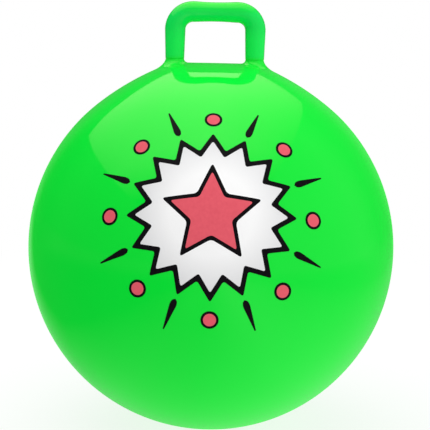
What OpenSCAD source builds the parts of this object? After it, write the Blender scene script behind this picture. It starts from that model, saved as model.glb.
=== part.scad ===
// Hopper ball: an inflated vinyl ball with a hollow loop handle on top and a push-in air valve at the back.
// The front is -Y, +Z is up, and the origin is the middle of the flat patch that the ball stands on.

/* [Ball] */
// Outer diameter of the inflated ball
ball_d = 450; // [380:5:560]
// Thickness of the ball's moulded wall
skin_t = 1.4; // [1:0.1:3]
// Diameter of the flat patch that the ball's own weight presses on the floor
foot_d = 64; // [40:2:90]

/* [Grip] */
// Distance between the centre lines of the two legs
leg_spacing = 97; // [84:1:120]
// Diameter of each leg where it stands on the saddle
leg_foot_d = 22.5; // [20:0.5:27]
// Diameter of each leg at its top, and of the tube in the two bends
leg_top_d = 24.5; // [20:0.5:28]
// Depth by which the top bar is drawn in at the middle
bar_waist = 0.85; // [0.2:0.05:2]
// Length at each end of the top bar that keeps the full diameter
bar_plain = 3; // [1:0.5:8]
// Radius of the two bends, to the centre line of the tube
bend_r = 21.5; // [18:0.5:30]
// Height of the grip's top above the top of the ball
grip_rise = 75.5; // [62:0.5:110]
// Diameter of the hollow that runs through the tube
grip_bore_d = 16; // [10:0.5:18]

/* [Saddle] */
// Height of the straight ridge between the legs, above the top of the ball
ridge_rise = 1.9; // [1.5:0.1:4]
// Height of the weld line on which the legs stand, above the top of the ball
weld_rise = 6.5; // [5:0.1:12]
// Distance over which the ridge fades into the ball
ridge_fade = 90; // [80:1:110]
// Radius that softens the crest of the ridge
ridge_round = 8; // [3:0.5:12]
// Width of the fillet at the outer side of each leg
outer_fillet = 13; // [8:0.5:18]
// Width of the fillet at the side of each leg that faces the hand gap
inner_fillet = 5.5; // [3:0.5:9]
// Reach of the saddle's skirt outwards from the centre of each leg
skirt_end = 76; // [60:1:84]
// Reach of the skirt to the front and to the back
skirt_side = 56; // [44:1:64]
// Least thickness of the skirt at its rim
skirt_lip = 0.6; // [0.4:0.1:1]

/* [Valve] */
// Angle of the valve from the top of the ball, towards the back
valve_angle = 50; // [35:1:75]
// Diameter of the seat where it passes through the wall
seat_d = 22; // [20:0.5:28]
// Depth of the seat below the ball's surface
seat_depth = 19; // [18:0.5:26]
// Height of the seat's face above the ball's surface
seat_proud = 0.8; // [0.5:0.1:2]
// Diameter of the flange that bonds the seat to the inside of the wall
flange_d = 40; // [34:1:56]
// Thickness of that flange
flange_t = 1.8; // [1:0.1:3]
// Diameter of the seat's air bore
valve_bore_d = 8.6; // [7.5:0.1:10]
// Diameter of the plug's head
plug_head_d = 15; // [13:0.5:17]
// Thickness of the plug's head
plug_head_t = 2.2; // [1.6:0.1:3]
// Length of the plug's shank below its head
plug_shank = 14; // [12:0.5:16]
// Height of each sealing rib on the shank
rib_h = 0.6; // [0.3:0.1:1]
// Number of sealing ribs on the shank
rib_count = 3; // [2:1:4]
// Width of the notch that lets a fingernail lift the head
notch_w = 6; // [4:0.5:8]

/* [Fit] */
// Gap left for the bond between pieces that are welded together
bond_gap = 0.2; // [0.1:0.05:0.3]
// Running clearance between the plug and its seat
plug_gap = 0.1; // [0.05:0.01:0.2]

/* [Hidden] */
$fn = 96;

skin_green = [0.09, 0.86, 0.22];
grip_green = [0.07, 0.80, 0.27];
plug_white = [0.93, 0.94, 0.92];

ball_r = ball_d / 2;
ball_z = sqrt(pow(ball_r, 2) - pow(foot_d / 2, 2));
ball_top = ball_z + ball_r;
ridge_z = ball_top + ridge_rise;
weld_z = ball_top + weld_rise;

leg_x = leg_spacing / 2;
leg_foot_r = leg_foot_d / 2;
tube_r = leg_top_d / 2;
grip_bore_r = grip_bore_d / 2;
bar_z = ball_top + grip_rise - tube_r;
bend_z = bar_z - bend_r;
bar_half = leg_x - bend_r;

valve_bore_r = valve_bore_d / 2;
rib_r = valve_bore_r - plug_gap;
core_r = rib_r - rib_h;
recess_r = plug_head_d / 2 + plug_gap;
recess_floor = seat_proud - plug_head_t;

// Steps in the saddle's mesh: rays round the outside and towards the middle
outer_rays = 40;
inner_rays = 10;
// Rings of that mesh, on the fillet and on the skirt
fillet_rings = 6;
skirt_rings = 6;
rays = outer_rays + inner_rays;
rings = 2 + fillet_rings + skirt_rings;

// A length beyond any of the part's own, for cuts that pass right through
past = 2 * ball_d;

// The ball's surface

// Height of the ball's surface over a point, with the ball's radius grown by a margin
function ball_height(x, y, margin) = ball_z + sqrt(pow(ball_r + margin, 2) - x * x - y * y);

module ball_solid(shrink) {
  intersection() {
    translate([0, 0, ball_z]) sphere(r = ball_r - shrink);
    translate([-past / 2, -past / 2, shrink]) cube(past);
  }
}

module at_legs() {
  for (side = [-1, 1]) translate([side * leg_x, 0, 0]) children();
}

module at_valve() {
  translate([0, 0, ball_z]) rotate([-valve_angle, 0, 0]) translate([0, 0, ball_r]) children();
}

module ball_skin() {
  color(skin_green) difference() {
    ball_solid(0);
    ball_solid(skin_t);
    at_legs() translate([0, 0, ball_z]) cylinder(r = grip_bore_r, h = past);
    at_valve() cylinder(r = seat_d / 2 + bond_gap, h = seat_depth, center = true);
  }
}

// The saddle: a ridge between the legs that fades into the ball, with a fillet that rises to each leg

// Distance from the straight line that joins the feet of the legs
function ridge_distance(x, y) = norm([max(abs(x) - leg_x, 0), y]);

// Share of the ridge's height that is left at a distance from its crest
function ridge_share(distance) =
  let (soft = norm([distance, ridge_round]) - ridge_round) pow(max(1 - soft / ridge_fade, 0), 2);

// Height of the ridge and skirt, before the fillets
function mound_z(x, y) =
  let (crest = ridge_z - ball_height(min(abs(x), leg_x), 0, 0))
  ball_height(x, y, 0) + max(crest * ridge_share(ridge_distance(x, y)), skirt_lip + bond_gap);

// Quarter ellipse that stands upright at a leg and lies flat at the fillet's end
function fillet_share(u) = u >= 1 ? 0 : 1 - sqrt(1 - pow(1 - u, 2));

// Width of the fillet in the direction t from a leg, where 0 points away from the other leg
function fillet_width(t) = inner_fillet + (outer_fillet - inner_fillet) * (1 + cos(t)) / 2;

// Direction, from the right leg, of the point where the skirt's front edge crosses the middle
corner_t = 180 - atan(skirt_side / leg_x);
function ray_angle(i) =
  i <= outer_rays
    ? corner_t * (2 * i / outer_rays - 1)
    : corner_t + 2 * (180 - corner_t) * (i - outer_rays) / inner_rays;
function ray_is_inner(i) = i == 0 || i >= outer_rays;

// Distance from a leg's centre to the skirt's rim, or to the middle of the saddle
function ray_reach(t) =
  cos(t) >= 0
    ? skirt_end * skirt_side / norm([skirt_side * cos(t), skirt_end * sin(t)])
    : min(skirt_side / max(abs(sin(t)), 0.001), leg_x / max(abs(cos(t)), 0.001));

// Distance of ring j from a leg's centre: the bore, the leg's edge, the fillet, and then the skirt
function ring_distance(t, j) =
  let (foot = leg_foot_r + fillet_width(t), k = j - 1 - fillet_rings)
  j == 0
    ? grip_bore_r
    : k <= 0
      ? leg_foot_r + fillet_width(t) * pow((j - 1) / fillet_rings, 2)
      : foot + (ray_reach(t) - foot) * k / skirt_rings;

function saddle_z(t, s) =
  let (
    edge = mound_z(leg_x + leg_foot_r * cos(t), leg_foot_r * sin(t)),
    rise = (weld_z - edge) * fillet_share((s - leg_foot_r) / fillet_width(t))
  )
  s <= leg_foot_r ? weld_z : mound_z(leg_x + s * cos(t), s * sin(t)) + rise;

// Layer 0 is the upper face, and layer 1 the under face that follows the ball
function saddle_point(side, layer, i, j) =
  let (
    t = ray_angle(i),
    s = ring_distance(t, j),
    x = j == rings - 1 && ray_is_inner(i) ? 0 : leg_x + s * cos(t),
    y = s * sin(t)
  )
  [side * x, y, layer == 0 ? saddle_z(t, s) : ball_height(x, y, bond_gap)];

// Place of a point in the list, with the middle's points shared by the two halves
function saddle_index(half, layer, i, j) =
  let (ray = i % rays, own = j == rings - 1 && ray_is_inner(ray) ? 0 : half)
  ((own * 2 + layer) * rays + ray) * rings + j;

// Two triangles over the four corners a, b, c and d, wound the other way round where flip is true
function two_triangles(a, b, c, d, flip) = flip ? [[a, c, b], [a, d, c]] : [[a, b, c], [a, c, d]];

// One strip of the grid between rays i and i + 1 and rings j and j + 1
function face_strip(half, layer, i, j) =
  two_triangles(
    saddle_index(half, layer, i, j),
    saddle_index(half, layer, i + 1, j),
    saddle_index(half, layer, i + 1, j + 1),
    saddle_index(half, layer, i, j + 1),
    half != layer
  );

// One strip of the wall that joins the two layers along ring j
function wall_strip(half, i, j) =
  two_triangles(
    saddle_index(half, 0, i, j),
    saddle_index(half, 1, i, j),
    saddle_index(half, 1, i + 1, j),
    saddle_index(half, 0, i + 1, j),
    (half == 1) == (j == 0)
  );

module handle_saddle() {
  halves = [0, 1];
  layers = [0, 1];
  all_rays = [0 : rays - 1];
  points = [
    for (half = halves, layer = layers, i = all_rays, j = [0 : rings - 1])
      saddle_point(half == 0 ? 1 : -1, layer, i, j)
  ];
  faces = [
    for (half = halves, layer = layers, i = all_rays, j = [0 : rings - 2])
      each face_strip(half, layer, i, j),
    for (half = halves, i = all_rays) each wall_strip(half, i, 0),
    for (half = halves, i = [0 : outer_rays - 1]) each wall_strip(half, i, rings - 1)
  ];
  color(skin_green) polyhedron(points = points, faces = faces, convexity = 6);
}

// The grip: two tapering legs, two bends and a waisted top bar, with one hollow through them all

module leg() {
  height = bend_z - weld_z;
  translate([0, 0, weld_z]) difference() {
    cylinder(r1 = leg_foot_r, r2 = tube_r, h = height);
    cylinder(r = grip_bore_r, h = 3 * height, center = true);
  }
}

module bend() {
  translate([bar_half, 0, bend_z]) rotate([90, 0, 0]) rotate_extrude(angle = 90)
    translate([bend_r, 0]) difference() {
      circle(r = tube_r);
      circle(r = grip_bore_r);
    }
}

module top_bar() {
  waist_half = bar_half - bar_plain;
  waist_r = (pow(waist_half, 2) + pow(bar_waist, 2)) / (2 * bar_waist);
  translate([0, 0, bar_z]) rotate([0, 90, 0]) rotate_extrude() difference() {
    translate([grip_bore_r, -bar_half]) square([tube_r - grip_bore_r, 2 * bar_half]);
    translate([tube_r - bar_waist + waist_r, 0]) circle(r = waist_r, $fn = 1440);
  }
}

module handle_grip() {
  color(grip_green) union() {
    at_legs() leg();
    bend();
    mirror([1, 0, 0]) bend();
    top_bar();
  }
}

// The valve: a seat bonded into the wall and a plug that pushes into it

// Section of the seat: the body with its bore and recess, and a flange that follows the inside of the wall
module seat_outline() {
  flange_r = ball_r - skin_t - bond_gap;
  difference() {
    union() {
      translate([valve_bore_r, -seat_depth]) square([seat_d / 2 - valve_bore_r, seat_depth + seat_proud]);
      intersection() {
        translate([valve_bore_r, -seat_depth]) square([flange_d / 2 - valve_bore_r, seat_depth]);
        translate([0, -ball_r]) difference() {
          circle(r = flange_r, $fn = 2880);
          circle(r = flange_r - flange_t, $fn = 2880);
        }
      }
    }
    translate([0, recess_floor - plug_gap]) square([recess_r, past]);
  }
}

module valve_seat() {
  color(skin_green) at_valve() difference() {
    rotate_extrude() seat_outline();
    translate([recess_r, 0, seat_proud]) cube([notch_w, notch_w, plug_head_t], center = true);
  }
}

// Outline of the shank, from its tip up: each rib rises gently from below and drops off above
module shank_outline() {
  pitch = plug_shank / (rib_count + 1);
  polygon([
    [0, -plug_shank],
    [core_r - rib_h, -plug_shank],
    [core_r, -plug_shank + rib_h],
    for (k = [1 : rib_count], corner = [[core_r, k - 0.6], [rib_r, k], [core_r, k]])
      [corner[0], corner[1] * pitch - plug_shank],
    [core_r, rib_h],
    [0, rib_h]
  ]);
}

module valve_plug() {
  head_r = plug_head_d / 2;
  half_t = plug_head_t / 2;
  color(plug_white) at_valve() translate([0, 0, recess_floor]) union() {
    rotate_extrude() shank_outline();
    cylinder(r = head_r, h = half_t);
    translate([0, 0, half_t]) cylinder(r1 = head_r, r2 = head_r - plug_head_t / 3, h = half_t);
  }
}

ball_skin();
handle_saddle();
handle_grip();
valve_seat();
valve_plug();
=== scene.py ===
"""Hopper ball: a glossy green inflated ball with a loop handle, a printed front and an air valve.

Sizes are in millimetres, as in the part's source, and are turned into metres when a mesh is made.
The front is -Y, +Z is up, and the origin is the middle of the patch that the ball stands on.
"""

import math

import bpy
import numpy as np
from mathutils import Matrix, Vector
from mathutils.geometry import delaunay_2d_cdt


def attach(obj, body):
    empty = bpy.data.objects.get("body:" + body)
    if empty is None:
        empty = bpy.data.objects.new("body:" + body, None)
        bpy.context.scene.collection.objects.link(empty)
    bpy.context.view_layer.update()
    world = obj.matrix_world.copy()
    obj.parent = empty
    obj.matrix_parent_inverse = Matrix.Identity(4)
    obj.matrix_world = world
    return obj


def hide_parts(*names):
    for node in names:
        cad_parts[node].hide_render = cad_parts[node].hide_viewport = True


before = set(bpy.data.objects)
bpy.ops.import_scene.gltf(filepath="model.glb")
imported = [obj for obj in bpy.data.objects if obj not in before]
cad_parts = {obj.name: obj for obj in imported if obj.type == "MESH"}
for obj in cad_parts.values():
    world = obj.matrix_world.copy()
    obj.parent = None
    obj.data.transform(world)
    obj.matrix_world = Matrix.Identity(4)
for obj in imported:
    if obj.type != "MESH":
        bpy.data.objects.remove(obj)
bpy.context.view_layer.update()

MM = 0.001
QUARTER = math.pi / 2
KEY_DIGITS = 4

# The ball
BALL_R = 225.0
FOOT_R = 32.0
SKIN_T = 1.4
BALL_Z = math.sqrt(BALL_R**2 - FOOT_R**2)
BALL_TOP = BALL_Z + BALL_R
BALL_CENTRE = np.array([0, 0, BALL_Z])

# The handle
LEG_X = 48.5
LEG_FOOT_R = 11.25
TUBE_R = 12.25
BORE_R = 8.0
BEND_R = 21.5
BAR_WAIST = 0.85
BAR_PLAIN = 3.0
BAR_Z = BALL_TOP + 75.5 - TUBE_R
BEND_Z = BAR_Z - BEND_R
BAR_HALF = LEG_X - BEND_R

# The saddle
RIDGE_Z = BALL_TOP + 1.9
WELD_Z = BALL_TOP + 6.5
RIDGE_FADE = 90.0
RIDGE_ROUND = 8.0
OUTER_FILLET = 13.0
INNER_FILLET = 5.5
SKIRT_END = 76.0
SKIRT_SIDE = 56.0

# The valve. Heights are above the ball's surface at the valve's axis.
VALVE_ANGLE = math.radians(50)
SEAT_R = 11.0
SEAT_DEPTH = 19.0
SEAT_PROUD = 0.8
SEAT_HOLE_R = 11.2
FLANGE_R = 20.0
FLANGE_T = 1.8
FLANGE_GAP = 0.2
VALVE_BORE_R = 4.3
RECESS_R = 7.6
RECESS_FLOOR = -1.5
NOTCH_HALF = 3.0
NOTCH_FLOOR = -0.3
HEAD_R = 7.5
HEAD_FLOOR = -1.4
HEAD_T = 2.2
SHANK = 14.0
RIB_R = 4.2
CORE_R = 3.6
RIB_COUNT = 3

# Fine marks of the moulding
SEAM_HEIGHT = 0.16
SEAM_HALF = 0.75
WELD_GROOVE = 0.45
WELD_GROOVE_HALF = 0.7

# The camera, from the ball's outline in the photograph
IMAGE_PX = 430
BALL_PX = (210.97, 246.33)
BALL_R_PX = 182.49
CAMERA_ELEVATION = math.radians(11.0)
CAMERA_DISTANCE = 7.25 * BALL_R
CAMERA_ROLL = math.radians(1.15)
CAMERA_REACH_M = 200
SENSOR_MM = 36.0


# Meshes


def make_piece(name, points, faces, material, body, node=None, normals=None, sharp=None):
    """Makes a smooth mesh piece from millimetre points, and fixes it to a body of the frame.

    Where normals aren't given, edges that bend by more than sharp degrees are left crisp.
    """
    mesh = bpy.data.meshes.new(name)
    mesh.from_pydata((np.asarray(points) * MM).tolist(), [], faces)
    mesh.update()
    mesh.shade_smooth()
    if normals is not None:
        mesh.normals_split_custom_set_from_vertices(np.asarray(normals).tolist())
    if sharp is not None:
        mesh.set_sharp_from_angle(angle=math.radians(sharp))
    mesh.materials.append(material)
    piece = bpy.data.objects.new(name, mesh)
    bpy.context.scene.collection.objects.link(piece)
    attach(piece, body)
    if node:
        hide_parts(node)
    return piece


def looped(ring):
    """Each item of a closed ring with the next one."""
    return list(zip(ring, ring[1:] + ring[:1]))


def quads(first, second):
    """The gaps between two closed rings: two neighbours of the first, then two of the second."""
    return [(a, b, c, d) for (a, b), (c, d) in zip(looped(first), looped(second))]


def thicken(points, normals, faces, inner):
    """Closes a sheet into a solid: inner points are its other side, and walls join the edges."""
    count = len(points)
    used = {edge for f in faces for edge in looped(f)}
    walls = [(b, a, a + count, b + count) for a, b in used if (b, a) not in used]
    back = [tuple(i + count for i in reversed(f)) for f in faces]
    all_points = np.concatenate([points, inner])
    all_normals = np.concatenate([normals, -normals])
    return all_points, all_normals, list(faces) + back + sorted(walls)


def unit(v):
    v = np.asarray(v, float)
    return v / np.linalg.norm(v, axis=-1, keepdims=True)


def key_of(place):
    """A place, rounded and without negative zeros, to find points that coincide."""
    return tuple(np.round(place, KEY_DIGITS) + 0.0)


# The ball's surface, with the mound that carries the handle

SLOPE_STEP = 0.05


def ball_height(x, y, radius=BALL_R):
    return BALL_Z + np.sqrt(np.maximum(radius**2 - x * x - y * y, 0))


def mound_rise(x, y):
    """Height of the mound above the ball, which fades out around the line that joins the legs."""
    x, y = np.asarray(x, float), np.asarray(y, float)
    crest = RIDGE_Z - ball_height(np.minimum(np.abs(x), LEG_X), 0.0)
    distance = np.hypot(np.maximum(np.abs(x) - LEG_X, 0), y)
    soft = np.hypot(distance, RIDGE_ROUND) - RIDGE_ROUND
    return crest * np.maximum(1 - soft / RIDGE_FADE, 0) ** 2


def top_height(x, y):
    return ball_height(x, y) + mound_rise(x, y)


def top_normal(x, y):
    dx = (top_height(x + SLOPE_STEP, y) - top_height(x - SLOPE_STEP, y)) / (2 * SLOPE_STEP)
    dy = (top_height(x, y + SLOPE_STEP) - top_height(x, y - SLOPE_STEP)) / (2 * SLOPE_STEP)
    return unit(np.stack([-dx, -dy, np.ones_like(dx)], -1))


# The saddle, as rays and rings round the right leg, mirrored for the left one

OUTER_RAYS = 126
INNER_RAYS = 36
FILLET_RINGS = 14
FILLET_STEP = 1e-4
SKIRT_RINGS = 16
SKIRT_SPACING = 1.2
CORNER = math.pi - math.atan(SKIRT_SIDE / LEG_X)
LEAST_SHARE = 1e-3
ON_MIDDLE = 1e-6


def ray_angles():
    outer = np.linspace(-CORNER, CORNER, OUTER_RAYS + 1)
    inner = np.linspace(CORNER, 2 * math.pi - CORNER, INNER_RAYS + 1)
    return np.concatenate([outer, inner[1:-1]])


def ray_reach(t):
    """Distance from the leg to the skirt's rim, or to the middle of the saddle."""
    c, s = math.cos(t), math.sin(t)
    if c >= 0:
        return SKIRT_END * SKIRT_SIDE / math.hypot(SKIRT_SIDE * c, SKIRT_END * s)
    return min(SKIRT_SIDE / max(abs(s), LEAST_SHARE), LEG_X / max(abs(c), LEAST_SHARE))


def fillet_width(t):
    return INNER_FILLET + (OUTER_FILLET - INNER_FILLET) * (1 + math.cos(t)) / 2


def fillet_point(t, w):
    """Point of the fillet, where w runs from a quarter turn at the leg to 0 at the fillet's end."""
    c, s = math.cos(t), math.sin(t)
    reach = LEG_FOOT_R + fillet_width(t) * (1 - math.sin(w))
    x, y = LEG_X + reach * c, reach * s
    climb = WELD_Z - top_height(LEG_X + LEG_FOOT_R * c, LEG_FOOT_R * s)
    return np.array([x, y, top_height(x, y) + climb * (1 - math.cos(w))])


def fillet_normal(t, w):
    along = fillet_point(t + FILLET_STEP, w) - fillet_point(t - FILLET_STEP, w)
    across = fillet_point(t, w - FILLET_STEP) - fillet_point(t, w + FILLET_STEP)
    return unit(np.cross(across, along))


def saddle_grid():
    """Points and normals of the right half, as an array of rays by rings."""
    points, normals = [], []
    for t in ray_angles():
        c, s = math.cos(t), math.sin(t)
        ring = [np.array([LEG_X + BORE_R * c, BORE_R * s, WELD_Z])]
        facing = [np.array([0.0, 0.0, 1.0])]
        for w in np.linspace(QUARTER, 0, FILLET_RINGS + 1):
            ring.append(fillet_point(t, w))
            facing.append(fillet_normal(t, w))
        start = LEG_FOOT_R + fillet_width(t)
        reach = ray_reach(t)
        for share in np.linspace(0, 1, SKIRT_RINGS + 1)[1:]:
            d = start + (reach - start) * share**SKIRT_SPACING
            x, y = LEG_X + d * c, d * s
            if abs(x) < ON_MIDDLE:
                x = 0.0
            ring.append(np.array([x, y, top_height(x, y)]))
            facing.append(top_normal(x, y))
        points.append(ring)
        normals.append(facing)
    return np.array(points), np.array(normals)


def saddle_sheet():
    """The saddle's upper face as one sheet, with the middle shared by both halves, and its rim."""
    grid, facing = saddle_grid()
    points, normals, faces, place = [], [], [], {}

    def vertex(p, n):
        key = key_of(p)
        if key not in place:
            place[key] = len(points)
            points.append(p)
            normals.append(n)
        return place[key]

    for side in (1, -1):
        mirror = np.array([side, 1, 1])
        rays = [[vertex(p * mirror, n * mirror) for p, n in zip(*row)] for row in zip(grid, facing)]
        for a, b in looped(rays):
            for j in range(len(a) - 1):
                face = (a[j], a[j + 1], b[j + 1], b[j])
                faces.append(face if side == 1 else face[::-1])
    rim = list(grid[: OUTER_RAYS + 1, -1])
    rim += [p * np.array([-1, 1, 1]) for p in rim]
    return np.array(points), np.array(normals), faces, rim


# The ball, in rings that start at the saddle's rim and end at the foot

BALL_RINGS = 88
BALL_SPACING = 1.15
FOOT_RINGS = 6
VALVE_WINDOW = math.radians(8.0)
VALVE_RINGS = 6
MOUND_ABOVE = 0.3


def valve_axes():
    """The valve's axis, and two directions across it: to the right, and up the ball."""
    s, c = math.sin(VALVE_ANGLE), math.cos(VALVE_ANGLE)
    return np.array([0, s, c]), np.array([1.0, 0, 0]), np.array([0, c, -s])


def ball_point(phi, theta):
    """Point and normal of the ball in the direction phi, at the angle theta from its top."""
    out = np.stack([np.sin(theta) * np.cos(phi), np.sin(theta) * np.sin(phi), np.cos(theta)], -1)
    p = BALL_R * out + BALL_CENTRE
    rise = np.where(out[..., 2] > MOUND_ABOVE, mound_rise(p[..., 0], p[..., 1]), 0)
    raised = rise > 0
    normals = out.copy()
    normals[raised] = top_normal(p[..., 0][raised], p[..., 1][raised])
    p[..., 2] += rise
    return p, normals


def window_rings(points, outer):
    """Directions and faces of rings that close in on the valve's hole, from a loop of vertices."""
    axis, right, up = valve_axes()
    directions = unit(points[outer] - BALL_CENTRE)
    angles = np.arctan2(directions @ up, directions @ right)[:, None]
    reach = np.arccos(np.clip(directions @ axis, -1, 1))[:, None]
    hole = math.asin(SEAT_HOLE_R / BALL_R)
    added, faces, previous = [], [], outer
    for k in range(1, VALVE_RINGS + 1):
        r = reach + (hole - reach) * (k / VALVE_RINGS)
        side = np.cos(angles) * right + np.sin(angles) * up
        added.append(np.cos(r) * axis + np.sin(r) * side)
        base = len(points) + (k - 1) * len(outer)
        ring = list(range(base, base + len(outer)))
        faces += [(b, a, c, d) for a, b, c, d in quads(previous, ring)]
        previous = ring
    return np.concatenate(added), faces


def foot_rings(first, edge, phi):
    """Points and faces of the flat foot, inside the ball's lower edge, numbered from first on."""
    points, faces, previous = [], [], edge
    for k in range(1, FOOT_RINGS):
        r = FOOT_R * (1 - k / FOOT_RINGS)
        base = first + len(points)
        points += [(r * math.cos(p), r * math.sin(p), 0.0) for p in phi]
        ring = list(range(base, base + len(phi)))
        faces += [(a, c, d, b) for a, b, c, d in quads(previous, ring)]
        previous = ring
    centre = first + len(points)
    points.append((0.0, 0.0, 0.0))
    faces += [(a, centre, b) for a, b in looped(previous)]
    return np.array(points), faces


def ball_sheet(rim):
    """The ball's outer face as one sheet, open at the saddle's rim and at the valve."""
    flat = sorted({key_of(p[:2]) for p in rim}, key=lambda p: math.atan2(p[1], p[0]))
    phi = np.array([math.atan2(y, x) for x, y in flat])
    start = np.array([math.asin(math.hypot(x, y) / BALL_R) for x, y in flat])[:, None]
    end = math.pi - math.asin(FOOT_R / BALL_R)
    theta = start + (end - start) * np.linspace(0, 1, BALL_RINGS + 1) ** BALL_SPACING
    points, normals = ball_point(np.repeat(phi[:, None], BALL_RINGS + 1, 1), theta)
    points, normals = points.reshape(-1, 3), normals.reshape(-1, 3)
    index = np.arange(theta.size).reshape(theta.shape)

    # The rings are left open in a window round the valve
    near_i = np.flatnonzero(np.abs(phi - QUARTER) < VALVE_WINDOW / math.sin(VALVE_ANGLE))
    middle = near_i[len(near_i) // 2]
    near_j = np.flatnonzero(np.abs(theta[middle] - VALVE_ANGLE) < VALVE_WINDOW)
    i0, i1, j0, j1 = near_i[0], near_i[-1], near_j[0], near_j[-1]
    after = np.roll(index, -1, 0)
    corners = np.stack([index[:, :-1], index[:, 1:], after[:, 1:], after[:, :-1]], -1)
    outside = np.ones(corners.shape[:2], bool)
    outside[i0:i1, j0:j1] = False
    faces = [tuple(f) for f in corners[outside].tolist()]
    loop = [(i, j0) for i in range(i0, i1)] + [(i1, j) for j in range(j0, j1)]
    loop += [(i, j1) for i in range(i1, i0, -1)] + [(i0, j) for j in range(j1, j0, -1)]
    out, added = window_rings(points, [int(index[i, j]) for i, j in loop])
    points = np.concatenate([points, BALL_R * out + BALL_CENTRE])
    normals = np.concatenate([normals, out])
    faces += added

    down = np.array([0.0, 0.0, -1.0])
    foot, added = foot_rings(len(points), index[:, -1].tolist(), phi)
    points = np.concatenate([points, foot])
    normals = np.concatenate([normals, np.tile(down, (len(foot), 1))])
    normals[index[:, -1]] = unit(normals[index[:, -1]] + down)
    faces += added

    # A vertex inside the window is used by no face
    used = sorted({v for f in faces for v in f})
    place = {v: k for k, v in enumerate(used)}
    return points[used], normals[used], [tuple(place[v] for v in f) for f in faces]


# The grip, swept along the loop

WELD_RISE = 3.2
WELD_STEPS = 14
LEG_STEPS = 13
BEND_STEPS = 24
BAR_STEPS = 21
SEAM_SPREAD = 0.6
SEAM_STEPS = (0.0, 0.25, 0.5, 0.75, 1.1, 1.6)
SIDE_STEPS = 37


def grip_stations():
    """Centre, outward direction and radius along the loop, from the left foot to the right one."""
    stations = []
    height = BEND_Z - WELD_Z
    low = np.linspace(0, WELD_RISE, WELD_STEPS + 1)
    high = np.linspace(WELD_RISE, height, LEG_STEPS + 1)[1:]
    for h in np.concatenate([low, high]):
        groove = WELD_GROOVE * math.exp(-((h / WELD_GROOVE_HALF) ** 2))
        r = LEG_FOOT_R + (TUBE_R - LEG_FOOT_R) * (h / height) - groove
        stations.append((-LEG_X, WELD_Z + h, -1.0, 0.0, r))
    for a in np.linspace(0, QUARTER, BEND_STEPS + 1)[1:]:
        c, s = math.cos(a), math.sin(a)
        stations.append((-BAR_HALF - BEND_R * c, BEND_Z + BEND_R * s, -c, s, TUBE_R))
    half = BAR_HALF - BAR_PLAIN
    waist_r = (half**2 + BAR_WAIST**2) / (2 * BAR_WAIST)
    for x in np.linspace(-BAR_HALF, 0, BAR_STEPS + 1)[1:]:
        inset = 0.0
        if abs(x) < half:
            inset = max(0.0, math.sqrt(waist_r**2 - x * x) - (waist_r - BAR_WAIST))
        stations.append((x, BAR_Z, 0.0, 1.0, TUBE_R - inset))
    stations += [(-x, z, -nx, nz, r) for x, z, nx, nz, r in stations[-2::-1]]
    return stations


def seam_angles():
    """Angles round the tube, closer together near the seams at its outer and inner side."""
    fine = np.array(SEAM_STEPS) / TUBE_R
    coarse = np.linspace(fine[-1], math.pi - fine[-1], SIDE_STEPS + 1)[1:-1]
    half = np.concatenate([fine, coarse, (math.pi - fine)[::-1]])
    return np.concatenate([half, half[1:-1] + math.pi])


def grip_sheet():
    """The grip's outer points, the points of its bore, and the outer faces."""
    stations = grip_stations()
    angles = seam_angles()
    off_seam = np.abs(np.sin(angles)) * TUBE_R
    seam = SEAM_HEIGHT * np.exp(-((off_seam / (SEAM_HALF * SEAM_SPREAD)) ** 2))
    outer, bore = [], []
    for x, z, nx, nz, r in stations:
        for a, bump in zip(angles, seam):
            c, s = math.cos(a), math.sin(a)
            for shell, reach in ((outer, r + bump), (bore, BORE_R)):
                shell.append((x + reach * c * nx, reach * s, z + reach * c * nz))
    rings = np.arange(len(outer)).reshape(len(stations), len(angles)).tolist()
    faces = []
    for low, high in zip(rings, rings[1:]):
        faces += [(c, d, b, a) for a, b, c, d in quads(low, high)]
    return np.array(outer), np.array(bore), faces


# The moulding's parting line on the ball: a fine bead down each side

PARTING_STEPS = 140
PARTING_FADE = 12
PARTING_LAP = 2
PARTING_GAP = 1
PARTING_HALF = [(-SEAM_HALF, -0.35), (-SEAM_HALF, -0.04), (-0.5, 0.04), (-0.25, 0.12)]


def parting_line(side):
    """A bead from under the skirt to the foot, which rises from the ball at its start and end."""
    start = math.asin((LEG_X + SKIRT_END - PARTING_LAP) / BALL_R)
    end = math.pi - math.asin((FOOT_R + PARTING_GAP) / BALL_R)
    profile = PARTING_HALF + [(0, SEAM_HEIGHT)] + [(-y, h) for y, h in PARTING_HALF[::-1]]
    points = []
    for k in range(PARTING_STEPS + 1):
        theta = start + (end - start) * k / PARTING_STEPS
        fade = min(1.0, PARTING_FADE * min(k, PARTING_STEPS - k) / PARTING_STEPS)
        c, s = math.cos(theta), math.sin(theta)
        rise = float(mound_rise(BALL_R * s, 0.0)) if c > 0 else 0.0
        for y, h in profile:
            r = BALL_R + (h if h < 0 else h * fade)
            points.append((side * r * s, side * y, BALL_Z + r * c + rise))
    rings = np.arange(len(points)).reshape(-1, len(profile)).tolist()
    faces = []
    for low, high in zip(rings, rings[1:]):
        faces += [(a, c, d, b) for a, b, c, d in quads(low, high)]
    return np.array(points), faces + [tuple(rings[0]), tuple(rings[-1][::-1])]


# The valve, turned about its axis

TURN_STEPS = 72
ON_AXIS = 1e-9
# The bead of the bond, from the bush's side down to the ball, as (distance, height)
BOND = [(0, 0), (0.12, -0.14), (0.4, -0.24), (0.9, -0.3), (1.3, -0.36), (1.2, -0.7), (0, -0.7)]
# A shallow dish in the plug's head, and the moulding's gate mark in it, as (radius, depth)
DISH = [(5.6, 0.0), (5.2, 0.05), (4.7, 0.32), (4.2, 0.38), (1.4, 0.4)]
GATE = [(1.2, 0.36), (1.05, 0.2), (0.85, 0.14), (0.0, 0.12)]
# The notch: the height below which nothing moves, the rim that stays, the slope and the flanks
NOTCH_LOWEST = -0.2
NOTCH_RIM = 0.6
NOTCH_SLOPE = 1.4
NOTCH_FLANK = 0.6


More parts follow.
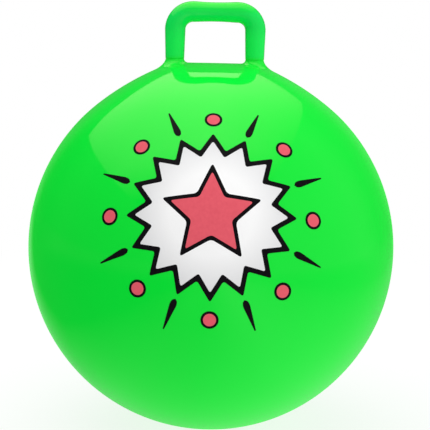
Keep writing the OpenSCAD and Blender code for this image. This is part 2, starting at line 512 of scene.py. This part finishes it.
def turned(profile, shape=None):
    """Revolves a profile of (radius, height) points. A radius of 0 becomes one point."""
    points, rows = [], []
    for r, h in profile:
        if r < ON_AXIS:
            rows.append([len(points)] * TURN_STEPS)
            points.append((0.0, 0.0, h))
            continue
        rows.append(list(range(len(points), len(points) + TURN_STEPS)))
        for k in range(TURN_STEPS):
            a = 2 * math.pi * k / TURN_STEPS
            height = shape(r, h, a) if shape else h
            points.append((r * math.cos(a), r * math.sin(a), height))
    pairs = list(zip(rows, rows[1:]))
    if profile[0][0] > ON_AXIS and profile[-1][0] > ON_AXIS:
        pairs.append((rows[-1], rows[0]))
    faces = []
    for low, high in pairs:
        corners = [tuple(dict.fromkeys((a, b, d, c))) for a, b, c, d in quads(low, high)]
        faces += [f for f in corners if len(f) > 2]
    return np.array(points), faces


def at_valve(points):
    axis, right, up = valve_axes()
    x, y, z = (points[:, k : k + 1] for k in range(3))
    return x * right + y * up + (z + BALL_R) * axis + BALL_CENTRE


def rounded(corner, before, after, size, steps=4):
    """Points of a small round between two straight edges that meet at a corner."""
    c, a, b = (np.asarray(v, float) for v in (corner, before, after))
    p, q = c + unit(a - c) * size, c + unit(b - c) * size
    ts = np.linspace(0, 1, steps + 1)
    return [tuple((1 - t) ** 2 * p + 2 * t * (1 - t) * c + t * t * q) for t in ts]


def seat_profile():
    """The bush's section: its bore, the recess for the plug's head, its rim, flange and tip."""

    def inside_wall(r, depth):
        return -BALL_R + math.sqrt((BALL_R - SKIN_T - FLANGE_GAP - depth) ** 2 - r * r)

    bore_mouth, tip_in = (VALVE_BORE_R, RECESS_FLOOR), (VALVE_BORE_R, -SEAT_DEPTH)
    recess_corner, lip = (RECESS_R, RECESS_FLOOR), (RECESS_R, SEAT_PROUD)
    rim, foot = (SEAT_R, SEAT_PROUD), (SEAT_R, inside_wall(SEAT_R, 0))
    flange_top = (FLANGE_R, inside_wall(FLANGE_R, 0))
    flange_low = (FLANGE_R, inside_wall(FLANGE_R, FLANGE_T))
    body_low, tip = (SEAT_R, inside_wall(SEAT_R, FLANGE_T)), (SEAT_R, -SEAT_DEPTH)
    profile = [tip_in]
    profile += rounded(bore_mouth, tip_in, recess_corner, size=0.5)
    profile += rounded(recess_corner, bore_mouth, lip, size=0.3)
    profile += rounded(lip, recess_corner, rim, size=0.35)
    profile += rounded(rim, lip, foot, size=0.55)
    profile += [(SEAT_R + r, z) for r, z in BOND]
    profile += [foot, flange_top, flange_low, body_low]
    profile += rounded(tip, body_low, tip_in, size=1.0)
    return profile[::-1]


def seat_notch(r, h, a):
    """Dips the seat's rim at one side, where a fingernail lifts the plug's head."""
    off = abs(math.atan2(math.sin(a), math.cos(a))) * r
    if h <= NOTCH_LOWEST or off >= NOTCH_HALF:
        return h
    share = ((1 + math.cos(math.pi * off / NOTCH_HALF)) / 2) ** NOTCH_FLANK
    inward = min(1.0, max(0.0, (SEAT_R - NOTCH_RIM - r) / NOTCH_SLOPE))
    return h - (h - NOTCH_FLOOR) * share * inward


def plug_profile():
    """The plug's section, from the tip of its shank over the sealing ribs to the head's middle."""
    tip, top = HEAD_FLOOR - SHANK, HEAD_FLOOR + HEAD_T
    profile = [(0.0, tip), (CORE_R - 0.9, tip), (CORE_R - 0.2, tip + 0.3), (CORE_R, tip + 0.9)]
    pitch = SHANK / (RIB_COUNT + 1)
    for k in range(1, RIB_COUNT + 1):
        z = tip + k * pitch
        profile += [(CORE_R, z - 0.6 * pitch + 0.4), (RIB_R - 0.06, z - 0.25), (RIB_R, z - 0.12)]
        profile += [(RIB_R - 0.05, z), (CORE_R + 0.12, z + 0.06), (CORE_R, z + 0.2)]
    under, edge, brim = (CORE_R, HEAD_FLOOR), (HEAD_R, HEAD_FLOOR), (HEAD_R, top)
    profile += rounded(under, (CORE_R, tip), edge, size=0.4)
    profile += rounded(edge, under, brim, size=0.3)
    profile += rounded(brim, edge, (0, top), size=0.8, steps=6)
    return profile + [(r, top - depth) for r, depth in DISH + GATE]


# The print on the front: a burst with a star, and dots and rays around it

PRINT_ELEVATION = math.radians(20.0)
INK_STEP = 1.6
INK_LEAST_STEPS = 12
INK_GRID = 4.0
INK_CLEAR = 0.35 * INK_GRID
INK_UNDER = -0.3
INK_MERGE = 1e-6
FILL_HEIGHT = 0.07
LINE_HEIGHT = 0.14
LAP = 0.9
SOFT_SHARE = 0.22
SOFT_ROUNDS = 4
SOFT_CUT = 0.25

# Points, outer radius and inner radius of the stars, and the widths of their outlines
BURST = (16, 86.0, 66.0)
BURST_LINE = 5.5
STAR = (5, 48.0, 23.0)
STAR_LINE = 4.2
# The ring of dots and rays
RING_COUNT, RING_R = 8, 117.0
DOT_R, DOT_LINE, DOT_STEPS = 7.5, 2.8, 40
RAY_NEAR, RAY_FAR, RAY_WIDTH = 101.0, 140.0, 8.0
RAY_BLUNT, RAY_POINTS = 0.2, 22


def print_axes():
    s, c = math.sin(PRINT_ELEVATION), math.cos(PRINT_ELEVATION)
    return np.array([0, -c, s]), np.array([1.0, 0, 0]), np.array([0, s, c])


def on_ball(flat, height):
    """Lays points of a flat drawing on the ball, with distances from the print's middle kept."""
    middle, right, up = print_axes()
    flat = np.asarray(flat, float)
    d = np.hypot(flat[:, 0], flat[:, 1])
    a = d / BALL_R
    safe = np.where(d > ON_AXIS, d, 1.0)
    side = (flat[:, :1] * right + flat[:, 1:2] * up) / safe[:, None]
    out = np.cos(a)[:, None] * middle + np.sin(a)[:, None] * side
    return (BALL_R + height) * out + BALL_CENTRE, out


def inside(outline, p):
    x, y = p[:, 0], p[:, 1]
    result = np.zeros(len(p), bool)
    for (x0, y0), (x1, y1) in zip(outline, np.roll(outline, -1, 0)):
        crosses = (y0 > y) != (y1 > y)
        with np.errstate(divide="ignore", invalid="ignore"):
            at = (x1 - x0) * (y - y0) / (y1 - y0) + x0
        result ^= crosses & (x < at)
    return result


def resampled(outline):
    """Points along an outline at even steps."""
    ends = np.vstack([outline, outline[:1]])
    along = np.concatenate([[0.0], np.cumsum(np.linalg.norm(np.diff(ends, axis=0), axis=1))])
    count = max(INK_LEAST_STEPS, int(along[-1] / INK_STEP))
    steps = np.linspace(0, along[-1], count, endpoint=False)
    return np.stack([np.interp(steps, along, ends[:, k]) for k in (0, 1)], 1)


def softened(p):
    """Rounds an outline's corners, within a share of its edges, by cutting them off in rounds."""
    q = np.roll(p, -1, 0)
    p = np.stack([p + (q - p) * SOFT_SHARE, q - (q - p) * SOFT_SHARE, q], 1).reshape(-1, 2)
    for _ in range(SOFT_ROUNDS):
        q = np.roll(p, -1, 0)
        p = np.stack([p + (q - p) * SOFT_CUT, q - (q - p) * SOFT_CUT], 1).reshape(-1, 2)
    return p


def star(points, outer, inner, grow):
    """A star with one tip up, whose edges are moved outwards by an even width."""
    half = math.pi / points
    tip, to_valley = np.array([outer, 0.0]), np.array([math.cos(half), math.sin(half)])
    e = unit(inner * to_valley - tip)
    n = np.array([-e[1], e[0]])
    n = n if n @ tip > 0 else -n
    far = n @ tip + grow
    r = np.tile([far / n[0], far / (n @ to_valley)], points)
    a = QUARTER + half * np.arange(2 * points)
    return np.stack([r * np.cos(a), r * np.sin(a)], 1)


def grown(shape, width):
    return softened(star(*shape, width))


def disc(centre, radius):
    a = np.linspace(0, 2 * math.pi, DOT_STEPS, endpoint=False)
    return np.stack([centre[0] + radius * np.cos(a), centre[1] + radius * np.sin(a)], 1)


def ray(turn):
    """A stroke that points outwards, round at the inner end and thin at the outer one."""
    t = np.linspace(0, 1, RAY_POINTS)
    blunt = np.sqrt(1 - (1 - np.minimum(t, RAY_BLUNT) / RAY_BLUNT) ** 2)
    half = RAY_WIDTH / 2 * np.where(t < RAY_BLUNT, blunt, 1 + RAY_BLUNT - t)
    edge = np.stack([RAY_NEAR + (RAY_FAR - RAY_NEAR) * t, half], 1)
    outline = np.concatenate([edge, (edge * [1, -1])[:0:-1]])
    c, s = math.cos(turn), math.sin(turn)
    return outline @ np.array([[c, s], [-s, c]])


def make_ink(name, outlines, height, material):
    """A film of ink: the area between the outlines, laid on the ball and given a thickness."""
    edges = [resampled(outline) for outline in outlines]
    edge = np.concatenate(edges)

    def within(p):
        return np.sum([inside(e, p) for e in edges], 0) % 2 == 1

    low, high = edge.min(0), edge.max(0)
    gx, gy = (np.arange(low[k] + INK_GRID / 2, high[k], INK_GRID) for k in (0, 1))
    grid = np.array([(x, y) for x in gx for y in gy]).reshape(-1, 2)
    if len(grid):
        gap = np.min(np.linalg.norm(grid[:, None] - edge[None], axis=2), 1)
        grid = grid[within(grid) & (gap > INK_CLEAR)]
    links, start = [], 0
    for e in edges:
        links += looped(list(range(start, start + len(e))))
        start += len(e)
    flat = [Vector(p) for p in np.concatenate([edge, grid])]
    found = delaunay_2d_cdt(flat, links, [], 0, INK_MERGE)
    verts = np.array([tuple(v) for v in found[0]])
    faces = [tuple(f) for f in found[2]]
    kept = []
    for f, ok in zip(faces, within(np.array([verts[list(f)].mean(0) for f in faces]))):
        if not ok:
            continue
        a, b, c = (verts[i] for i in f)
        turn = (b[0] - a[0]) * (c[1] - a[1]) - (b[1] - a[1]) * (c[0] - a[0])
        kept.append(f if turn > 0 else f[::-1])
    top, out = on_ball(verts, height)
    under, _ = on_ball(verts, INK_UNDER)
    points, normals, closed = thicken(top, out, kept, under)
    return make_piece(name, points, closed, material, "ball", normals=normals)


# Nodes


def fill_inputs(tree, node, inputs):
    """Links or sets a node's inputs, which are given by name or number."""
    for key, value in inputs.items():
        if isinstance(value, bpy.types.NodeSocket):
            tree.links.new(value, node.inputs[key])
        else:
            node.inputs[key].default_value = value


def node_of(tree, kind, inputs, operation=None, data_type=None):
    node = tree.nodes.new(kind)
    if operation:
        node.operation = operation
    if data_type:
        node.data_type = data_type
    fill_inputs(tree, node, inputs)
    return node


def placed(tree, output="Object"):
    return tree.nodes.new("ShaderNodeTexCoord").outputs[output]


def parted(tree, output="Object"):
    """The x, y and z of a place or direction."""
    return node_of(tree, "ShaderNodeSeparateXYZ", {0: placed(tree, output)}).outputs


def away_from(tree, point):
    """Distance from a point in metres."""
    inputs = {0: placed(tree), 1: tuple(point)}
    return node_of(tree, "ShaderNodeVectorMath", inputs, "DISTANCE").outputs["Value"]


def noise(tree, scale, detail):
    inputs = {"Vector": placed(tree), "Scale": scale, "Detail": detail}
    return node_of(tree, "ShaderNodeTexNoise", inputs).outputs["Fac"]


def ranged(tree, value, low, high, start=0.3, stop=0.7):
    """A ramp from low to high, as the value goes from start to stop."""
    inputs = {"Value": value, "From Min": start, "From Max": stop, "To Min": low, "To Max": high}
    return node_of(tree, "ShaderNodeMapRange", inputs).outputs["Result"]


def mixed(tree, factor, a, b):
    """A colour between a and b."""
    a, b = (c if isinstance(c, bpy.types.NodeSocket) else (*c, 1) for c in (a, b))
    inputs = {"Factor": factor, "A": a, "B": b}
    return node_of(tree, "ShaderNodeMix", inputs, data_type="RGBA").outputs["Result"]


def between(tree, factor, a, b):
    """A number between a and b."""
    return node_of(tree, "ShaderNodeMix", {"Factor": factor, "A": a, "B": b}).outputs["Result"]


def worked(tree, operation, *values):
    return node_of(tree, "ShaderNodeMath", dict(enumerate(values)), operation).outputs[0]


def times(tree, product, *values):
    for value in values:
        product = worked(tree, "MULTIPLY", product, value)
    return product


def bumped(tree, *layers):
    """One bump after another, each as (noise scale, noise detail, strength, metres)."""
    normal = None
    for scale, detail, strength, distance in layers:
        inputs = {"Height": noise(tree, scale, detail), "Strength": strength, "Distance": distance}
        if normal is not None:
            inputs["Normal"] = normal
        normal = node_of(tree, "ShaderNodeBump", inputs).outputs["Normal"]
    return normal


# Materials

# Noise in colour and gloss, as (scale, detail)
VINYL_CLOUDS, VINYL_GLOSS = (7.0, 3.0), (38.0, 3.0)
INK_MOTTLE, INK_GLOSS = (240.0, 3.0), (90.0, 2.0)
PLUG_CLOUDS, PLUG_SCUFFS = (300.0, 3.0), (700.0, 4.0)
# Bumps, as (noise scale, noise detail, strength, metres)
RIPPLE = (22.0, 1.0, 0.12, 0.0006)
VINYL_GRAIN = (420.0, 2.0, 0.05, 0.00012)
INK_GRAIN = (900.0, 2.0, 0.06, 0.00008)
PLUG_GRAIN = (1500.0, 3.0, 0.1, 0.0001)
# Roughness, from the glossiest spots to the dullest
BALL_ROUGH, GRIP_ROUGH = (0.045, 0.075), (0.06, 0.10)
INK_ROUGH, PLUG_ROUGH = (0.32, 0.40), (0.32, 0.45)
EDGE_GLOW = (0.02, 1.0, 0.06, 1)


def make_material(name, light, dark, clouds, rough, gloss, bumps, inputs):
    """A surface with clouds in its colour, an uneven gloss and bumps."""
    material = bpy.data.materials.new(name)
    material.use_nodes = True
    tree = material.node_tree
    share = ranged(tree, noise(tree, *clouds), 0.0, 1.0)
    inputs["Base Color"] = mixed(tree, share, dark, light)
    inputs["Roughness"] = ranged(tree, noise(tree, *gloss), *rough)
    inputs["Normal"] = bumped(tree, *bumps)
    fill_inputs(tree, tree.nodes["Principled BSDF"], inputs)
    return material


def vinyl(name, light, dark, rough, glow=0.0):
    """Glossy soft vinyl, with a slow ripple and a glow at its edges."""
    inputs = {"IOR": 1.5, "Sheen Weight": glow, "Sheen Roughness": 0.35, "Sheen Tint": EDGE_GLOW}
    bumps = (RIPPLE, VINYL_GRAIN)
    return make_material(name, light, dark, VINYL_CLOUDS, rough, VINYL_GLOSS, bumps, inputs)


def ink(name, light, dark):
    """Printed ink: thin, with a faint mottle, and less glossy than the vinyl under it."""
    inputs = {"Specular IOR Level": 0.05}
    bumps = (RIPPLE, INK_GRAIN)
    return make_material(name, light, dark, INK_MOTTLE, INK_ROUGH, INK_GLOSS, bumps, inputs)


def satin(name, light, dark):
    """Moulded polyethylene: waxy, with a soft sheen and fine scuffs."""
    inputs = {"Subsurface Weight": 0.1, "Subsurface Scale": 0.002}
    bumps = (PLUG_GRAIN,)
    return make_material(name, light, dark, PLUG_CLOUDS, PLUG_ROUGH, PLUG_SCUFFS, bumps, inputs)


def recoloured(material, colour, share):
    """Mixes a colour over a material's own one."""
    tree = material.node_tree
    base = tree.nodes["Principled BSDF"].inputs["Base Color"]
    tree.links.new(mixed(tree, share, base.links[0].from_socket, colour), base)


def painted_light_by_height(material, colour, low, high):
    """Turns a material's colour with height, to paint light and shade into it where the light
    falls.
    """
    tree = material.node_tree
    height = parted(tree)["Z"]
    recoloured(material, colour, ranged(tree, height, 0.0, 1.0, low * MM, high * MM))


def shaded(material, colour, near, far):
    """Turns an ink's colour with the distance from the print's middle, as a printed gradient."""
    tree = material.node_tree
    middle, _ = on_ball([(0.0, 0.0)], 0.0)
    away = away_from(tree, middle[0] * MM)
    recoloured(material, colour, ranged(tree, away, 0.0, 1.0, near * MM, far * MM))


# Painted light and shade: the saddle's collar is painted lighter, the grip's legs lighter, and the
# grip's bar yellower at its top and darker than the legs.
SADDLE_PAINTED_LIGHT = (0.010, 0.86, 0.046)
LEG_PAINTED_LIGHT = (0.0042, 0.855, 0.097)
BAR_PAINTED_LIGHT_AND_SHADE = (0.0036, 0.79, 0.035)
PAPER_WHITE, PAPER_GREY = (0.97, 0.97, 0.97), (0.70, 0.70, 0.71)

BALL_GREEN = vinyl("ball_vinyl", (0.0034, 0.83, 0.042), (0.0028, 0.80, 0.040), BALL_ROUGH, glow=1.0)
# Painted light: the ball is painted lighter and paler towards the crest of the saddle.
painted_light_by_height(BALL_GREEN, SADDLE_PAINTED_LIGHT, BALL_TOP - 9.0, BALL_TOP + 1.0)
GRIP_GREEN = vinyl("grip_vinyl", (0.0042, 0.775, 0.096), (0.0036, 0.745, 0.092), GRIP_ROUGH)
# Painted light: the grip's legs are painted lighter than its bar.
painted_light_by_height(GRIP_GREEN, LEG_PAINTED_LIGHT, BEND_Z + 6.0, BEND_Z - 12.0)
# Painted light: the grip's foot is painted with the saddle's lighter painted colour.
painted_light_by_height(GRIP_GREEN, SADDLE_PAINTED_LIGHT, WELD_Z + 4.5, WELD_Z)
# Painted highlight and shade: the bar is painted yellower at its top and darker than the legs.
painted_light_by_height(GRIP_GREEN, BAR_PAINTED_LIGHT_AND_SHADE, BAR_Z - 2.0, BAR_Z + 10.0)
INK_BLACK = ink("ink_black", (0.0068, 0.0058, 0.0075), (0.0050, 0.0042, 0.0056))
INK_WHITE = ink("ink_white", PAPER_WHITE, PAPER_WHITE)
shaded(INK_WHITE, PAPER_GREY, 46.0, 94.0)
INK_RED = ink("ink_red", (0.81, 0.117, 0.155), (0.77, 0.104, 0.140))
PLUG_WHITE = satin("plug_polyethylene", (0.64, 0.65, 0.61), (0.57, 0.58, 0.54))


# Pieces

sheet, facing, faces, rim = saddle_sheet()
inner_z = ball_height(sheet[:, 0], sheet[:, 1], BALL_R - SKIN_T)
under = np.stack([sheet[:, 0], sheet[:, 1], inner_z], 1)
points, normals, faces = thicken(sheet, facing, faces, under)
make_piece("saddle", points, faces, BALL_GREEN, "ball", "handle_saddle", normals)

sheet, facing, faces = ball_sheet(rim)
points, normals, faces = thicken(sheet, facing, faces, sheet - facing * SKIN_T)
make_piece("ball_shell", points, faces, BALL_GREEN, "ball", "ball_skin", normals)

sheet, bore, faces = grip_sheet()
points, _, faces = thicken(sheet, np.zeros_like(sheet), faces, bore)
make_piece("grip_loop", points, faces, GRIP_GREEN, "ball", "handle_grip", sharp=50)

for name, side in (("parting_line_right", 1), ("parting_line_left", -1)):
    points, faces = parting_line(side)
    make_piece(name, points, faces, BALL_GREEN, "ball", sharp=60)

points, faces = turned(seat_profile(), seat_notch)
points = at_valve(points)
make_piece("valve_bush", points, faces, BALL_GREEN, "ball", "valve_seat", sharp=45)

points, faces = turned(plug_profile())
points = at_valve(points)
make_piece(
    "valve_stopper", points, faces, PLUG_WHITE, "plug", "valve_plug", sharp=45
)

area = [grown(BURST, LAP), grown(STAR, STAR_LINE - LAP)]
make_ink("print_burst", area, FILL_HEIGHT, INK_WHITE)
area = [grown(BURST, BURST_LINE), grown(BURST, 0.0)]
make_ink("print_burst_line", area, LINE_HEIGHT, INK_BLACK)
area = [grown(STAR, LAP)]
make_ink("print_star", area, FILL_HEIGHT, INK_RED)
area = [grown(STAR, STAR_LINE), grown(STAR, 0.0)]
make_ink("print_star_line", area, LINE_HEIGHT, INK_BLACK)
for k in range(RING_COUNT):
    a = QUARTER + 2 * math.pi * k / RING_COUNT
    spot = (RING_R * math.cos(a), RING_R * math.sin(a))
    area = [disc(spot, DOT_R + LAP)]
    make_ink(f"print_dot_{k + 1}", area, FILL_HEIGHT, INK_RED)
    area = [disc(spot, DOT_R + DOT_LINE), disc(spot, DOT_R)]
    make_ink(f"print_dot_line_{k + 1}", area, LINE_HEIGHT, INK_BLACK)
    area = [ray(a + math.pi / RING_COUNT)]
    make_ink(f"print_ray_{k + 1}", area, FILL_HEIGHT, INK_BLACK)


# The stage: a pale floor, one large soft light overhead and a plain surrounding

FLOOR_PLACE, FLOOR_SIZE = (0, 0, 0), (60, 60)
SOFTBOX_PLACE, SOFTBOX_SIZE = (-0.8, 0.25, BALL_Z * MM + 2.4), (5.2, 5.9)
SOFTBOX_WARM = (1.0, 1.0, 0.75)
FLOOR_GREY = (0.9, 0.9, 0.9, 1)
WHITE = (1, 1, 1, 1)

# Ramps of light: two levels, and where each is reached, along x or y unless a note says otherwise.
# A fill lights the object, and a shine is what reflections show. Places are in metres, and those of
# the surrounding are parts of a direction.
FAR_BACK = (0.09, 0.22, 0.80, 0.95)
FAR_BACK_MIDDLE = (0.6, 1.0, 0.03, 0.15)
FAR_BACK_LEFT = (0.22, 1.0, -0.60, -0.48)
FAR_FRONT = (0.10, 0.30, -0.9, 0.9)
FAR_FRONT_TO_BACK = (0.0, 1.0, 0.25, 0.60)
LINE_LEAN = 0.55
FLOOR_SHINE_OFF_LINE = (0.025, 0.40, -0.40, -0.14)  # by the distance from the leaning line
FLOOR_SHINE_RIGHT = (1.15, 0.42, 0.2, 0.9)
FLOOR_SHINE_FRONT = (0.38, 1.0, -0.45, 0.10)
FLOOR_LEFT_TO_RIGHT = (0.0, 1.0, -0.02, 0.15)
FLOOR_NEAR_TO_FAR = (0.0, 1.0, 1.3, 2.8)  # by the distance from the object
FLOOR_FILL_SIDE = (0.68, 1.15, -1.0, 1.0)
FLOOR_FILL_FRONT = (1.02, 1.40, -0.32, -0.02)
FLOOR_FILL_BACK = (1.0, 0.62, 0.05, 0.3)
FLOOR_WHITE = (0.8, 1.0, 0.45, 1.1)  # by the distance from the object
SOFTBOX_FILL_LEFT = (1.35, 2.35, -2.6, 0.5)
SOFTBOX_FILL_RIGHT = (1.0, 0.2, 0.9, 2.6)
SOFTBOX_SHINE_LEFT = (0.49, 1.35, -2.6, 0.5)
SOFTBOX_SHINE_RIGHT = (1.0, 0.3, 0.9, 2.6)
SOFTBOX_FRONT = (0.0, 1.0, -2.9, -0.9)
WORLD_FILL_SIDE = (0.26, 1.02, -0.9, 0.8)
WORLD_FILL_FRONT = (1.28, 0.98, -0.7, 0.3)
WORLD_SHINE_LEFT = (0.65, 1.0, -0.3, 0.0)


def new_tree(owner):
    owner.use_nodes = True
    owner.node_tree.nodes.clear()
    return owner.node_tree


def plane(name, centre, size, material):
    x, y = size[0] / 2, size[1] / 2
    mesh = bpy.data.meshes.new(name)
    mesh.from_pydata([(-x, -y, 0), (x, -y, 0), (x, y, 0), (-x, y, 0)], [], [(0, 1, 2, 3)])
    mesh.materials.append(material)
    piece = bpy.data.objects.new(name, mesh)
    piece.location = centre
    bpy.context.scene.collection.objects.link(piece)
    return piece


def far_shine(tree, x, y):
    """Light in a reflection of the far surrounding, by its direction.

    Behind the object it is palest on either side of straight back, and darkest to the left.
    In front it is paler to the right.
    """
    behind = times(
        tree,
        ranged(tree, y, *FAR_BACK),
        ranged(tree, worked(tree, "ABSOLUTE", x), *FAR_BACK_MIDDLE),
        ranged(tree, x, *FAR_BACK_LEFT),
    )
    front = ranged(tree, x, *FAR_FRONT)
    return between(tree, ranged(tree, y, *FAR_FRONT_TO_BACK), front, behind)


def off_line(tree, x, y):
    """Distance to the right of a line on the floor, which leans to the left behind the object."""
    behind = worked(tree, "MAXIMUM", y, 0.0)
    return worked(tree, "MULTIPLY_ADD", behind, LINE_LEAN, x)


def floor_material():
    """Pale floor: seen as white with a soft shadow, and darker to the left in reflections."""
    material = bpy.data.materials.new("floor")
    tree = new_tree(material)
    path = tree.nodes.new("ShaderNodeLightPath")
    x, y = parted(tree)[:2]
    far = away_from(tree, FLOOR_PLACE)
    front = ranged(tree, y, *FLOOR_SHINE_FRONT)
    shine_near = times(
        tree,
        ranged(tree, off_line(tree, x, y), *FLOOR_SHINE_OFF_LINE),
        ranged(tree, x, *FLOOR_SHINE_RIGHT),
        between(tree, ranged(tree, x, *FLOOR_LEFT_TO_RIGHT), front, 1.0),
    )
    shine_far = far_shine(tree, worked(tree, "DIVIDE", x, far), worked(tree, "DIVIDE", y, far))
    shine = between(tree, ranged(tree, far, *FLOOR_NEAR_TO_FAR), shine_near, shine_far)
    fill = times(
        tree,
        ranged(tree, x, *FLOOR_FILL_SIDE),
        ranged(tree, y, *FLOOR_FILL_FRONT),
        ranged(tree, y, *FLOOR_FILL_BACK),
    )
    light = between(tree, path.outputs["Is Glossy Ray"], fill, shine)
    glow = node_of(tree, "ShaderNodeEmission", {"Strength": light}).outputs[0]
    matt = node_of(tree, "ShaderNodeBsdfDiffuse", {"Color": FLOOR_GREY}).outputs[0]
    white = node_of(tree, "ShaderNodeEmission", {"Color": WHITE}).outputs[0]
    inputs = {0: ranged(tree, far, *FLOOR_WHITE), 1: matt, 2: white}
    seen = node_of(tree, "ShaderNodeMixShader", inputs).outputs[0]
    inputs = {0: path.outputs["Is Camera Ray"], 1: glow, 2: seen}
    surface = node_of(tree, "ShaderNodeMixShader", inputs).outputs[0]
    node_of(tree, "ShaderNodeOutputMaterial", {"Surface": surface})
    material.cycles.emission_sampling = "NONE"
    return material


def softbox_material():
    """Soft light, brightest in the middle and at the back, and a little warm in reflections."""
    material = bpy.data.materials.new("softbox")
    tree = new_tree(material)
    glossy = tree.nodes.new("ShaderNodeLightPath").outputs["Is Glossy Ray"]
    x, y = parted(tree)[:2]
    right = ranged(tree, x, *SOFTBOX_FILL_RIGHT)
    fill = times(tree, ranged(tree, x, *SOFTBOX_FILL_LEFT), right)
    right = ranged(tree, x, *SOFTBOX_SHINE_RIGHT)
    shine = times(tree, ranged(tree, x, *SOFTBOX_SHINE_LEFT), right)
    level = times(tree, between(tree, glossy, fill, shine), ranged(tree, y, *SOFTBOX_FRONT))
    tint = mixed(tree, glossy, WHITE[:3], SOFTBOX_WARM)
    glow = node_of(tree, "ShaderNodeEmission", {"Color": tint, "Strength": level})
    node_of(tree, "ShaderNodeOutputMaterial", {"Surface": glow.outputs[0]})
    return material


def build_world():
    """White behind the object, in a soft surrounding that is brighter to the right and in front."""
    world = bpy.data.worlds.new("studio")
    bpy.context.scene.world = world
    tree = new_tree(world)
    path = tree.nodes.new("ShaderNodeLightPath")
    x, y = parted(tree, "Generated")[:2]
    fill = times(tree, ranged(tree, x, *WORLD_FILL_SIDE), ranged(tree, y, *WORLD_FILL_FRONT))
    shine = times(tree, far_shine(tree, x, y), ranged(tree, x, *WORLD_SHINE_LEFT))
    light = between(tree, path.outputs["Is Glossy Ray"], fill, shine)
    seen = between(tree, path.outputs["Is Camera Ray"], light, 1.0)
    sky = node_of(tree, "ShaderNodeBackground", {"Color": WHITE, "Strength": seen})
    node_of(tree, "ShaderNodeOutputWorld", {"Surface": sky.outputs[0]})
    world.cycles.sampling_method = "NONE"


build_world()
plane("floor", FLOOR_PLACE, FLOOR_SIZE, floor_material())
softbox = plane("softbox", SOFTBOX_PLACE, SOFTBOX_SIZE, softbox_material())
softbox.visible_camera = False


# The camera


def build_camera():
    """Places the camera so that the ball's outline falls where the photograph has it."""
    camera = bpy.data.objects.new("camera", bpy.data.cameras.new("camera"))
    bpy.context.scene.collection.objects.link(camera)
    focal_px = BALL_R_PX / math.tan(math.asin(BALL_R / CAMERA_DISTANCE))
    camera.data.sensor_width = SENSOR_MM
    camera.data.lens = focal_px / IMAGE_PX * SENSOR_MM
    camera.data.clip_end = CAMERA_REACH_M
    away = Vector((0, -math.cos(CAMERA_ELEVATION), math.sin(CAMERA_ELEVATION)))
    right = Vector((1, 0, 0))
    up = away.cross(right)
    look = Matrix((right, up, away)).transposed()
    aim_x = (BALL_PX[0] - IMAGE_PX / 2) / focal_px
    aim_y = (IMAGE_PX / 2 - BALL_PX[1]) / focal_px
    aim = Vector((aim_x, aim_y, -1)).normalized()
    turn = aim.rotation_difference(Vector((0, 0, -1))).to_matrix()
    roll = Matrix.Rotation(CAMERA_ROLL, 3, away)
    place = Vector((0, 0, BALL_Z * MM)) + away * CAMERA_DISTANCE * MM
    camera.matrix_world = Matrix.Translation(place) @ (roll @ look @ turn).to_4x4()
    bpy.context.scene.camera = camera


build_camera()
bpy.context.scene.view_settings.view_transform = "Standard"
